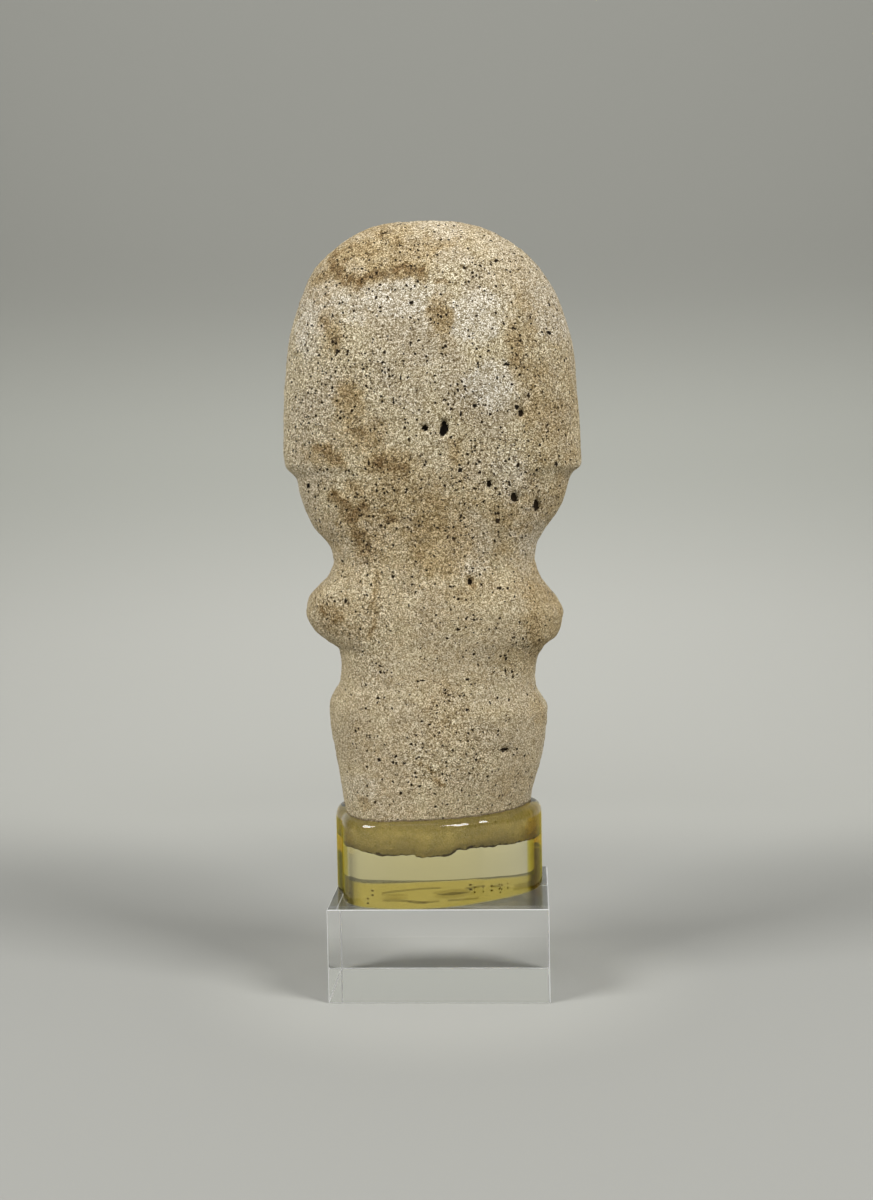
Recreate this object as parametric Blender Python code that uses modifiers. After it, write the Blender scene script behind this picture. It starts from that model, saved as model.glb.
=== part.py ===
"""Carved stone figure held in a cast resin socket on a clear acrylic block.

Metres, +Z up. The origin is the middle of the block's underside. The figure's plain back faces -Y
and its front faces +Y.
"""

import math

import bmesh
import bpy
from mathutils import Vector

MM = 0.001

WELD_DISTANCE = 0.01 * MM
FLAT_ANGLE = math.radians(0.2)
SHARP_ANGLE = math.radians(40.0)

# Acrylic block: one inch sheet, cut and polished.
BLOCK_WIDTH = 59.2 * MM
BLOCK_DEPTH = 46.5 * MM
BLOCK_HEIGHT = 25.4 * MM
BLOCK_CHAMFER = 0.4 * MM

# Gap that stands for the glue and for the skin between resin and stone.
TOUCH_GAP = 0.3 * MM

# Resin socket, cast around the figure's foot. The walls are measured from the foot at the socket's top.
SOCKET_HEIGHT = 22.9 * MM
SOCKET_SIDE_WALL = 2.4 * MM
SOCKET_BACK_WALL = 1.8 * MM
SOCKET_FRONT_WALL = 5.0 * MM
SOCKET_ROUNDING = 2.8 * MM
SOCKET_ROUNDING_STEPS = 4

# Stone figure. FOOT_SINK is how deep its foot stands in the resin, and POCKET_OVERRUN how far the form
# that cuts the resin's pocket runs on above the resin.
FIGURE_HEIGHT = 168.7 * MM
FOOT_SINK = 8.6 * MM
POCKET_OVERRUN = 8.6 * MM

# How finely the round forms are divided.
RING_POINTS = 48
RING_SPACING = 3.2
CARVING_SIDES = 24
SMALL_CARVING_SIDES = 16
ARM_CORNER_STEPS = 3
ARM_LENGTH_STEPS = 4

# The figure's proportions, drawn in millimetres at this height above the underside of its foot and
# scaled to FIGURE_HEIGHT. Each row is a height and how far the outline reaches from the middle.
DRAWN_HEIGHT = 168.7
LEFT_OUTLINE = (
    (0.0, 23.3), (1.5, 25.9), (8.6, 26.9), (20.0, 28.2), (35.0, 30.3), (38.5, 30.2), (43.0, 27.4),
    (48.5, 26.4), (53.8, 27.3), (56.0, 31.0), (58.5, 34.0), (63.0, 36.2), (68.0, 34.9), (73.0, 29.8),
    (77.4, 28.0), (82.0, 29.2), (86.5, 33.1), (95.0, 36.8), (100.0, 37.5), (103.3, 40.9),
    (110.0, 41.2), (134.5, 39.5), (147.5, 35.8), (156.0, 32.1), (160.2, 27.9), (164.3, 22.3),
    (166.4, 18.2), (168.2, 13.0), (168.7, 2.0),
)
RIGHT_OUTLINE = (
    (0.0, 21.8), (1.5, 24.4), (8.6, 25.2), (22.0, 28.5), (35.5, 30.2), (38.8, 28.2), (40.6, 27.0),
    (44.5, 26.6), (50.0, 27.7), (53.3, 30.0), (55.4, 33.0), (62.0, 34.9), (66.6, 32.7), (71.0, 29.2),
    (76.5, 27.1), (80.6, 27.6), (85.3, 30.1), (91.7, 34.7), (99.3, 37.2), (100.7, 38.0),
    (101.9, 40.1), (105.0, 40.2), (120.0, 39.4), (132.8, 38.4), (146.0, 34.9), (156.6, 28.7),
    (163.2, 21.0), (166.4, 14.6), (168.1, 8.4), (168.7, -2.0),
)
BACK_PROFILE = (
    (0.0, 18.6), (1.5, 20.3), (8.6, 20.8), (37.0, 20.7), (48.0, 20.0), (63.0, 20.5), (79.0, 19.5),
    (103.0, 21.4), (122.0, 22.0), (168.7, 22.0),
)
FRONT_PROFILE = (
    (0.0, 14.5), (1.5, 16.2), (8.6, 17.0), (37.0, 17.2), (47.0, 14.6), (63.0, 16.6), (79.0, 13.6),
    (103.0, 17.6), (122.0, 19.0), (168.7, 19.0),
)

# The head's depth closes over the crown in a round arc that starts at this height.
CROWN_START = 122.0
CROWN_SQUARE = 2.3

# How square each corner of a level outline is: 2 is an ellipse, and more is boxier. The back slopes
# away to the right at the foot, and evens out by the height of the ears.
LEFT_SQUARE = ((0.0, 2.5), (48.0, 3.0), (77.0, 3.2), (110.0, 2.4), (168.7, 2.15))
RIGHT_SQUARE = ((0.0, 1.85), (48.0, 2.7), (77.0, 3.0), (110.0, 2.5), (168.7, 2.3))
FRONT_SQUARE = 2.3
EVEN_HEIGHT = 110.0
RIDGE_X_FOOT = -13.0
RIDGE_X_HEAD = -2.0
SIDE_Y_FOOT = 9.0

# Carving of the front, in the drawing's millimetres: a face framed by the hair, short arms and the
# groove between the legs.
FACE_HEIGHT = 120.0
FACE_HALF_WIDTH = 24.5
FACE_HALF_HEIGHT = 30.5
FACE_FLOOR_Y = 13.8
FACE_FRONT_Y = 17.8
FACE_CURVE = (56.0, 40.0, 72.0)
EYE_HEIGHT = 127.0
EYE_SPREAD = 9.5
EYE_SIZE = (6.0, 2.2, 2.8)
NOSE_TOP = 131.0
NOSE_BOTTOM = 114.0
NOSE_TOP_RADIUS = 1.8
NOSE_BOTTOM_RADIUS = 4.6
NOSE_LEAN = math.radians(8.0)
MOUTH_HEIGHT = 107.0
MOUTH_SIZE = (7.0, 2.0, 1.8)
ARM_PATH = ((27.0, -1.0, 62.0), (27.5, 9.0, 61.5), (20.0, 13.5, 58.5), (8.0, 12.5, 54.0))
ARM_RADII = (5.5, 5.8, 5.0, 3.6)
LEG_GROOVE_PLACE = (-0.5, 18.0, 12.0)
LEG_GROOVE_SIZE = (1.8, 4.2, 24.0)

# Outline of the socket seen from above, as shares of its width (left to right) and depth (back to
# front): a bowed back face with two tight corners, and a plain oval front.
SOCKET_OUTLINE = (
    (0.0, 0.69), (0.035, 0.39), (0.09, 0.14), (0.16, 0.04), (0.33, 0.0), (0.57, 0.035), (0.77, 0.185),
    (0.91, 0.345), (0.965, 0.43), (1.0, 0.69), (0.9, 0.86), (0.52, 1.0), (0.13, 0.885),
)
SOCKET_OUTLINE_STEPS = 5

# Colour, roughness, transmission and refractive index of each material.
LIMESTONE = ("carved porous limestone", (0.60, 0.53, 0.40), 0.9, 0.0, 1.5)
RESIN = ("aged casting resin", (0.80, 0.72, 0.40), 0.08, 1.0, 1.54)
ACRYLIC = ("cast acrylic", (0.90, 0.92, 0.90), 0.03, 1.0, 1.49)


def clear_scene():
    """Removes every object that a new file starts with."""
    for old in list(bpy.data.objects):
        bpy.data.objects.remove(old, do_unlink=True)


def make_collection(name):
    """Adds a collection to the scene."""
    collection = bpy.data.collections.new(name)
    bpy.context.scene.collection.children.link(collection)
    return collection


def move_to(obj, collection):
    """Puts an object in one collection only."""
    for old in list(obj.users_collection):
        old.objects.unlink(obj)
    collection.objects.link(obj)


def make_material(name, color, roughness, transmission, ior):
    """A Principled material with plain values."""
    material = bpy.data.materials.new(name)
    material.use_nodes = True
    shader = material.node_tree.nodes["Principled BSDF"]
    shader.inputs["Base Color"].default_value = (*color, 1.0)
    shader.inputs["Roughness"].default_value = roughness
    shader.inputs["Metallic"].default_value = 0.0
    shader.inputs["Transmission Weight"].default_value = transmission
    shader.inputs["IOR"].default_value = ior
    return material


def mark_as_cutter(obj, cutters):
    """Keeps a carving form out of the finished model."""
    obj.hide_render = True
    obj.display_type = "WIRE"
    move_to(obj, cutters)


def add_boolean(obj, other, operation):
    """Cuts or joins one closed form with another."""
    modifier = obj.modifiers.new(operation.title() + " " + other.name, "BOOLEAN")
    modifier.object = other
    modifier.operation = operation
    modifier.solver = "EXACT"


def apply_scale(obj):
    """Gives a primitive its scaled size in its mesh."""
    for vertex in obj.data.vertices:
        vertex.co = Vector(a * b for a, b in zip(vertex.co, obj.scale))
    obj.scale = (1.0, 1.0, 1.0)


def smooth_curve(rows, height):
    """Reads a table of heights and values as a smooth line that never overshoots its rows.

    The line is drawn against the root of the distance to the crown, which keeps the crown round.
    """
    places = [math.sqrt(max(DRAWN_HEIGHT - row[0], 0.0)) for row in rows]
    values = [row[1] for row in rows]
    place = math.sqrt(max(DRAWN_HEIGHT - height, 0.0))
    slopes = [(values[i + 1] - values[i]) / (places[i + 1] - places[i]) for i in range(len(rows) - 1)]
    tangents = [slopes[0]]
    for before, after in zip(slopes, slopes[1:]):
        same_way = before * after > 0.0
        tangents.append(2.0 * before * after / (before + after) if same_way else 0.0)
    tangents.append(slopes[-1])
    span = 0
    while span < len(slopes) - 1 and place < places[span + 1]:
        span += 1
    width = places[span + 1] - places[span]
    t = (place - places[span]) / width
    start = (1.0 + 2.0 * t) * (1.0 - t) ** 2
    end = t * t * (3.0 - 2.0 * t)
    leave = t * (1.0 - t) ** 2 * width
    arrive = t * t * (t - 1.0) * width
    return (start * values[span] + end * values[span + 1]
            + leave * tangents[span] + arrive * tangents[span + 1])


def crown_share(height):
    """How much of the head's depth is left at a height over the crown."""
    rise = max(height - CROWN_START, 0.0) / (DRAWN_HEIGHT - CROWN_START)
    return max(1.0 - rise ** CROWN_SQUARE, 0.0) ** (1.0 / CROWN_SQUARE)


def section_ring(height):
    """One level outline of the figure, in the drawing's millimetres, counterclockwise from +X."""
    even = min(height / EVEN_HEIGHT, 1.0)
    ridge_x = RIDGE_X_FOOT + (RIDGE_X_HEAD - RIDGE_X_FOOT) * even
    side_y = SIDE_Y_FOOT * (1.0 - even)
    left_square = smooth_curve(LEFT_SQUARE, height)
    right_square = smooth_curve(RIGHT_SQUARE, height)
    left = smooth_curve(LEFT_OUTLINE, height) + ridge_x
    right = smooth_curve(RIGHT_OUTLINE, height) - ridge_x
    back = smooth_curve(BACK_PROFILE, height) * crown_share(height) + side_y
    front = smooth_curve(FRONT_PROFILE, height) * crown_share(height) - side_y
    ring = []
    for i in range(RING_POINTS):
        angle = 2.0 * math.pi * i / RING_POINTS
        across = math.cos(angle)
        along = math.sin(angle)
        square = FRONT_SQUARE
        if along < 0.0:
            square = right_square if across > 0.0 else left_square
        x = (right if across > 0.0 else -left) * abs(across) ** (2.0 / square)
        y = (front if along > 0.0 else -back) * abs(along) ** (2.0 / square)
        ring.append(Vector((ridge_x + x, side_y + y)))
    return ring


def grow_ring(ring, distance):
    """Moves a level outline outwards by the same distance all round."""
    grown = []
    for i, point in enumerate(ring):
        along = ring[(i + 1) % len(ring)] - ring[i - 1]
        outward = Vector((along.y, -along.x)).normalized()
        grown.append(point + outward * distance)
    return grown


def ring_heights():
    """Heights of the figure's level outlines, closer together where the outline turns."""
    rows = sorted({row[0] for row in LEFT_OUTLINE + RIGHT_OUTLINE})
    heights = [rows[0]]
    for low, high in zip(rows, rows[1:]):
        turn = max(
            abs(smooth_curve(table, high) - smooth_curve(table, low))
            for table in (LEFT_OUTLINE, RIGHT_OUTLINE)
        )
        steps = max(1, round(math.hypot(high - low, turn) / RING_SPACING))
        low_place = math.sqrt(DRAWN_HEIGHT - low)
        high_place = math.sqrt(DRAWN_HEIGHT - high)
        for step in range(1, steps + 1):
            place = low_place + (high_place - low_place) * step / steps
            heights.append(DRAWN_HEIGHT - place ** 2)
    return heights[:-1]


def loft(name, rings, crown):
    """Skins a stack of level outlines, flat at the bottom, and closed by a point or flat on top."""
    form = bmesh.new()
    loops = [[form.verts.new(point) for point in ring] for ring in rings]
    for lower, upper in zip(loops, loops[1:]):
        for i in range(len(lower)):
            j = (i + 1) % len(lower)
            form.faces.new((lower[i], lower[j], upper[j], upper[i]))
    form.faces.new(loops[0])
    if crown is None:
        form.faces.new(loops[-1])
    else:
        top = form.verts.new(crown)
        for i in range(len(loops[-1])):
            form.faces.new((loops[-1][i], loops[-1][(i + 1) % len(loops[-1])], top))
    bmesh.ops.recalc_face_normals(form, faces=form.faces)
    mesh = bpy.data.meshes.new(name)
    form.to_mesh(mesh)
    form.free()
    return bpy.data.objects.new(name, mesh)


def figure_scale():
    """Metres for one millimetre of the drawing."""
    return FIGURE_HEIGHT / DRAWN_HEIGHT


def socket_top():
    """Height of the resin's top face."""
    return BLOCK_HEIGHT + TOUCH_GAP + SOCKET_HEIGHT


def foot_height():
    """Height of the underside of the figure's foot."""
    return socket_top() - FOOT_SINK


def figure_point(x, y, height):
    """A point of the drawing at its place in the model."""
    scale = figure_scale()
    return Vector((x * scale, y * scale, foot_height() + height * scale))


def add_ellipsoid(name, place, size, cutters, sides=CARVING_SIDES):
    """A carving form with three radii, in the drawing's millimetres."""
    bpy.ops.mesh.primitive_uv_sphere_add(segments=sides, ring_count=sides // 2, radius=1.0)
    form = bpy.context.object
    form.name = name
    form.scale = Vector(size) * figure_scale()
    apply_scale(form)
    form.location = figure_point(*place)
    mark_as_cutter(form, cutters)
    return form


def add_tube(name, path, radii, cutters):
    """A round carving form along a smooth line, with its own radius at each point."""
    scale = figure_scale()
    curve = bpy.data.curves.new(name, "CURVE")
    curve.dimensions = "3D"
    curve.bevel_depth = scale
    curve.bevel_resolution = ARM_CORNER_STEPS
    curve.resolution_u = ARM_LENGTH_STEPS
    curve.use_fill_caps = True
    spline = curve.splines.new("BEZIER")
    spline.bezier_points.add(len(path) - 1)
    for anchor, place, radius in zip(spline.bezier_points, path, radii):
        anchor.co = figure_point(*place)
        anchor.radius = radius
        anchor.handle_left_type = "AUTO"
        anchor.handle_right_type = "AUTO"
    return curve_to_mesh(bpy.data.objects.new(name, curve), cutters)


def curve_to_mesh(outline, collection):
    """Replaces a curve by its closed mesh, with the caps welded on."""
    collection.objects.link(outline)
    bpy.context.view_layer.update()
    evaluated = outline.evaluated_get(bpy.context.evaluated_depsgraph_get())
    mesh = bpy.data.meshes.new_from_object(evaluated)
    name = outline.name
    bpy.data.objects.remove(outline, do_unlink=True)
    form = bmesh.new()
    form.from_mesh(mesh)
    bmesh.ops.remove_doubles(form, verts=form.verts, dist=WELD_DISTANCE)
    bmesh.ops.dissolve_limit(form, angle_limit=FLAT_ANGLE, verts=form.verts, edges=form.edges)
    bmesh.ops.recalc_face_normals(form, faces=form.faces)
    form.to_mesh(mesh)
    form.free()
    mesh.name = name
    mesh.materials.clear()
    solid = bpy.data.objects.new(name, mesh)
    collection.objects.link(solid)
    return solid


def make_face_form(cutters):
    """The sunk oval of the face: its rim is a groove along the hair and its floor bulges forward."""
    scale = figure_scale()
    depth = 2.0 * FACE_FLOOR_Y
    bpy.ops.mesh.primitive_cylinder_add(vertices=RING_POINTS, radius=1.0, depth=1.0)
    form = bpy.context.object
    form.name = "face_recess"
    form.scale = (FACE_HALF_WIDTH * scale, FACE_HALF_HEIGHT * scale, depth * scale)
    apply_scale(form)
    form.rotation_euler = (math.radians(90.0), 0.0, 0.0)
    form.location = figure_point(RIDGE_X_HEAD, FACE_FLOOR_Y + depth / 2.0, FACE_HEIGHT)
    mark_as_cutter(form, cutters)
    bulge_place = (RIDGE_X_HEAD, FACE_FRONT_Y - FACE_CURVE[1], FACE_HEIGHT)
    bulge = add_ellipsoid("face_bulge", bulge_place, FACE_CURVE, cutters, RING_POINTS)
    add_boolean(form, bulge, "DIFFERENCE")
    return form


def make_nose_form(cutters):
    """A tapered wedge from the brow to the nostrils."""
    scale = figure_scale()
    bpy.ops.mesh.primitive_cone_add(
        vertices=SMALL_CARVING_SIDES, radius1=NOSE_BOTTOM_RADIUS * scale,
        radius2=NOSE_TOP_RADIUS * scale, depth=(NOSE_TOP - NOSE_BOTTOM) * scale)
    form = bpy.context.object
    form.name = "nose"
    form.rotation_euler = (NOSE_LEAN, 0.0, 0.0)
    middle = (NOSE_TOP + NOSE_BOTTOM) / 2.0
    form.location = figure_point(RIDGE_X_HEAD, FACE_FRONT_Y - NOSE_TOP_RADIUS, middle)
    mark_as_cutter(form, cutters)
    return form


def make_figurine(parts, cutters):
    """The stone: a stack of level outlines, carved in front."""
    rings = [
        [figure_point(point.x, point.y, height) for point in section_ring(height)]
        for height in ring_heights()
    ]
    figurine = loft("figurine", rings, figure_point(RIDGE_X_HEAD, 0.0, DRAWN_HEIGHT))
    parts.objects.link(figurine)
    add_boolean(figurine, make_face_form(cutters), "DIFFERENCE")
    add_boolean(figurine, make_nose_form(cutters), "UNION")
    for side, hand in (("left", -1.0), ("right", 1.0)):
        eye_place = (RIDGE_X_HEAD + hand * EYE_SPREAD, FACE_FRONT_Y - EYE_SIZE[1] / 2.0, EYE_HEIGHT)
        eye = add_ellipsoid("eye_" + side, eye_place, EYE_SIZE, cutters, SMALL_CARVING_SIDES)
        add_boolean(figurine, eye, "UNION")
        arm_path = [(hand * x, y, height) for x, y, height in ARM_PATH]
        arm = add_tube("arm_" + side, arm_path, ARM_RADII, cutters)
        mark_as_cutter(arm, cutters)
        add_boolean(figurine, arm, "UNION")
    mouth_place = (RIDGE_X_HEAD, FACE_FRONT_Y - MOUTH_SIZE[1], MOUTH_HEIGHT)
    mouth = add_ellipsoid("mouth", mouth_place, MOUTH_SIZE, cutters, SMALL_CARVING_SIDES)
    add_boolean(figurine, mouth, "UNION")
    groove = add_ellipsoid("leg_groove", LEG_GROOVE_PLACE, LEG_GROOVE_SIZE, cutters)
    add_boolean(figurine, groove, "DIFFERENCE")
    figurine.data.shade_smooth()
    figurine.data.materials.append(make_material(*LIMESTONE))


def make_foot_form(cutters):
    """The foot grown by the gap, from just under its sole to above the socket."""
    scale = figure_scale()
    growth = TOUCH_GAP / scale
    top = FOOT_SINK + POCKET_OVERRUN
    heights = [height for height in ring_heights() if height * scale < top]
    rings = []
    for height in heights:
        level = height - growth if height == 0.0 else height
        ring = grow_ring(section_ring(height), growth)
        rings.append([figure_point(point.x, point.y, level) for point in ring])
    form = loft("foot_form", rings, None)
    cutters.objects.link(form)
    mark_as_cutter(form, cutters)
    return form


def make_socket_outline():
    """The socket's plan as a closed curve around the foot."""
    scale = figure_scale()
    foot = section_ring(FOOT_SINK / scale)
    left = min(point.x for point in foot) * scale - SOCKET_SIDE_WALL
    right = max(point.x for point in foot) * scale + SOCKET_SIDE_WALL
    back = min(point.y for point in foot) * scale - SOCKET_BACK_WALL
    front = max(point.y for point in foot) * scale + SOCKET_FRONT_WALL
    curve = bpy.data.curves.new("socket_outline", "CURVE")
    curve.dimensions = "2D"
    curve.fill_mode = "BOTH"
    curve.extrude = SOCKET_HEIGHT / 2.0
    curve.resolution_u = SOCKET_OUTLINE_STEPS
    spline = curve.splines.new("BEZIER")
    spline.bezier_points.add(len(SOCKET_OUTLINE) - 1)
    spline.use_cyclic_u = True
    for anchor, (across, along) in zip(spline.bezier_points, SOCKET_OUTLINE):
        anchor.co = (left + across * (right - left), back + along * (front - back), 0.0)
        anchor.handle_left_type = "AUTO"
        anchor.handle_right_type = "AUTO"
    return bpy.data.objects.new("socket_outline", curve)


def mark_top_edge(mesh):
    """Marks the edge between the top face and the wall for rounding."""
    form = bmesh.new()
    form.from_mesh(mesh)
    weight = form.edges.layers.float.new("bevel_weight_edge")
    for edge in form.edges:
        on_top = all(vertex.co.z > 0.0 for vertex in edge.verts)
        edge[weight] = 1.0 if on_top and edge.calc_face_angle() > SHARP_ANGLE else 0.0
    form.to_mesh(mesh)
    form.free()


def make_socket(parts, cutters):
    """The resin block: an upright wall, a rounded top edge and a pocket that the foot fills."""
    socket = curve_to_mesh(make_socket_outline(), parts)
    socket.name = "resin_socket"
    mark_top_edge(socket.data)
    socket.location = (0.0, 0.0, BLOCK_HEIGHT + TOUCH_GAP + SOCKET_HEIGHT / 2.0)
    rounding = socket.modifiers.new("Rounded top edge", "BEVEL")
    rounding.limit_method = "WEIGHT"
    rounding.width = SOCKET_ROUNDING
    rounding.segments = SOCKET_ROUNDING_STEPS
    rounding.use_clamp_overlap = False
    add_boolean(socket, make_foot_form(cutters), "DIFFERENCE")
    socket.data.shade_smooth()
    socket.data.set_sharp_from_angle(angle=SHARP_ANGLE)
    socket.data.materials.append(make_material(*RESIN))


def make_block(parts):
    """The acrylic block, with fine polished chamfers."""
    bpy.ops.mesh.primitive_cube_add(size=1.0)
    block = bpy.context.object
    block.name = "acrylic_block"
    block.scale = (BLOCK_WIDTH, BLOCK_DEPTH, BLOCK_HEIGHT)
    apply_scale(block)
    block.location = (0.0, 0.0, BLOCK_HEIGHT / 2.0)
    move_to(block, parts)
    chamfer = block.modifiers.new("Polished chamfers", "BEVEL")
    chamfer.width = BLOCK_CHAMFER
    chamfer.segments = 1
    block.data.materials.append(make_material(*ACRYLIC))


def main():
    """Builds the figure and the two pieces that hold it up."""
    clear_scene()
    parts = make_collection("stone_figurine")
    cutters = make_collection("cutters")
    make_figurine(parts, cutters)
    make_socket(parts, cutters)
    make_block(parts)


main()
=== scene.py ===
"""Looks for a carved stone figure whose foot is cast in clear resin on an acrylic block.

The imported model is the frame. The stone gets a worn, pitted and stained skin, the resin its round
edges and yellow tint, and the block its polish. Metres, +Z up. The figure's plain back faces -Y.
"""

import math

import bmesh
import bpy
import numpy as np
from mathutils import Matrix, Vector, noise


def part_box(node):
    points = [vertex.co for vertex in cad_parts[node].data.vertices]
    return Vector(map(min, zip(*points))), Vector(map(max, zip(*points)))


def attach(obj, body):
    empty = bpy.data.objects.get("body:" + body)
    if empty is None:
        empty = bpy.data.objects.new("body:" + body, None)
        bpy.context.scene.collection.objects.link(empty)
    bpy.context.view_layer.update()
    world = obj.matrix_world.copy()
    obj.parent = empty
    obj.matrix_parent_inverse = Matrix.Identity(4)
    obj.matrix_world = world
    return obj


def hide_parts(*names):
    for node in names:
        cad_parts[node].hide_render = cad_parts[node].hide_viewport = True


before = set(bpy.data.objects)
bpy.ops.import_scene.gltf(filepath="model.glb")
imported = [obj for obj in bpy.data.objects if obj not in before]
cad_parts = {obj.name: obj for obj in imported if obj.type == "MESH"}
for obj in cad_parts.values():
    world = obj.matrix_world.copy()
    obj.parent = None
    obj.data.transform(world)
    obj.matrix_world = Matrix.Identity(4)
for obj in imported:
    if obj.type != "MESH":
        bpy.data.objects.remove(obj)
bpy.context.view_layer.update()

bl_info = {
    "name": "Stone figurine on its mount",
    "version": (1, 0, 0),
    "blender": (4, 5, 0),
    "location": "3D View > Sidebar > Figurine",
    "description": "Dresses the packed figurine, its resin socket and its acrylic block",
    "category": "Object",
}

MM = 0.001

STONE_LOW, STONE_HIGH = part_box("figurine")
SOCKET_LOW, SOCKET_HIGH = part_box("resin_socket")
BLOCK_LOW, BLOCK_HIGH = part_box("acrylic_block")
FOOT_Z = STONE_LOW.z

# The camera that was fitted to the photograph: its place, its turn in degrees and its focal length.
CAMERA_PLACE = (25.4 * MM, -439.0 * MM, 140.7 * MM)
CAMERA_TURN = (85.48, 1.05, 3.24)
CAMERA_LENS = 48.0

# How far noise shifts the edges of pits, stains and broad areas, in millimetres, and how softly pits and
# areas end, as a share of their half width. Pits above a certain size are cut into the mesh too.
NOISE_SIZE = 2.4 * MM
NOISE_SEED = 1
PIT_SHIFT, STAIN_SHIFT, AREA_SHIFT = 0.12, 1.0, 2.0
PIT_SOFTNESS, AREA_SOFTNESS = 0.7, 0.8
CUT_PIT_SIZE = 0.4

# The foot's broken underside: how far up the break fades out, how wide the rags are and how high, in
# millimetres, and how far up the dark rim reaches.
BREAK_FADE = 5.0 * MM
RAG_SIZE = 1.7 * MM
RAG_HEIGHT = 0.45
RIM_REACH = 3.2 * MM

# The resin's pocket lies between these heights, and is this much smaller than the stone in it.
POCKET_BOTTOM = FOOT_Z + 3.0 * MM
POCKET_TOP = SOCKET_HIGH.z + 6.0 * MM
POCKET_INSET = 0.9 * MM

# The resin's end skins, which darken and yellow its ends as painted shade: how far they reach in from
# either end, how far they stand proud, how thick they are at the least, and the gap between them and the
# glue.
LEFT_SKIN_REACH = 5.4 * MM
RIGHT_SKIN_REACH = 4.4 * MM
SKIN_PROUD = 0.025 * MM
SKIN_LEAST = 0.12 * MM
SKIN_GAP = 0.02 * MM

# The glue: its gap above the block and its width as a share of the resin's. Then how high its marks lie,
# and how thick the lines, bubbles and patches are, to either side of their middle.
GLUE_GAP = 0.04 * MM
GLUE_SHARE = 0.985
LINE_RISE, BUBBLE_RISE, PATCH_RISE = 0.1 * MM, 0.6 * MM, 0.1 * MM
LINE_RADIUS, BUBBLE_RADIUS = 0.06 * MM, 0.24 * MM
PATCH_HALF_HEIGHT = 0.08

# Marks on the stone's back, in millimetres: how far right of the middle and how high above the foot. The
# places of pits and stains were picked by eye on the photograph, and a scratch script with the fitted
# camera turned most of them into millimetres.
# Open pits, with half their width and half their height.
PITS = (
    (4, 112.5, 0.9, 1.5), (3.4, 111.2, 0.6, 0.9), (-1, 112.5, 0.7, 0.8), (8.5, 116, 0.4, 0.7),
    (23, 117.6, 0.6, 0.5), (24.2, 116, 0.7, 0.9), (-11.5, 165, 1.4, 0.4), (-25, 135.5, 0.6, 0.4),
    (-24, 133, 0.4, 0.7), (-4, 145, 0.6, 0.4), (18, 156, 0.6, 0.4), (22.5, 138, 0.6, 0.4),
    (31.5, 137, 0.6, 0.4), (20.5, 128.5, 0.7, 0.5), (13, 128.5, 0.4, 0.7), (26, 120.5, 0.4, 0.7),
    (12, 118, 0.6, 0.4), (-7, 125.5, 0.4, 0.7), (-9, 119.5, 0.4, 0.9), (8, 101.5, 0.6, 0.6),
    (15.5, 97.5, 0.6, 0.9), (22, 94, 0.8, 1.1), (28, 91.5, 0.7, 1.4), (17.5, 88, 0.6, 0.6),
    (33, 102.5, 0.4, 0.6), (-33, 98, 0.4, 0.7), (4.5, 84, 0.4, 0.6), (10, 72, 0.7, 0.8),
    (17.5, 70, 0.7, 0.4), (6.5, 59.5, 0.6, 0.5), (-23, 67.5, 0.5, 0.6), (19, 51, 0.4, 0.6),
    (9, 46, 0.6, 0.4), (-3, 46, 0.6, 0.4), (4, 42, 0.7, 0.4), (-15, 41.5, 0.6, 0.4),
    (18.5, 26, 0.9, 0.5), (-15, 25, 0.6, 0.4),
)
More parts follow.
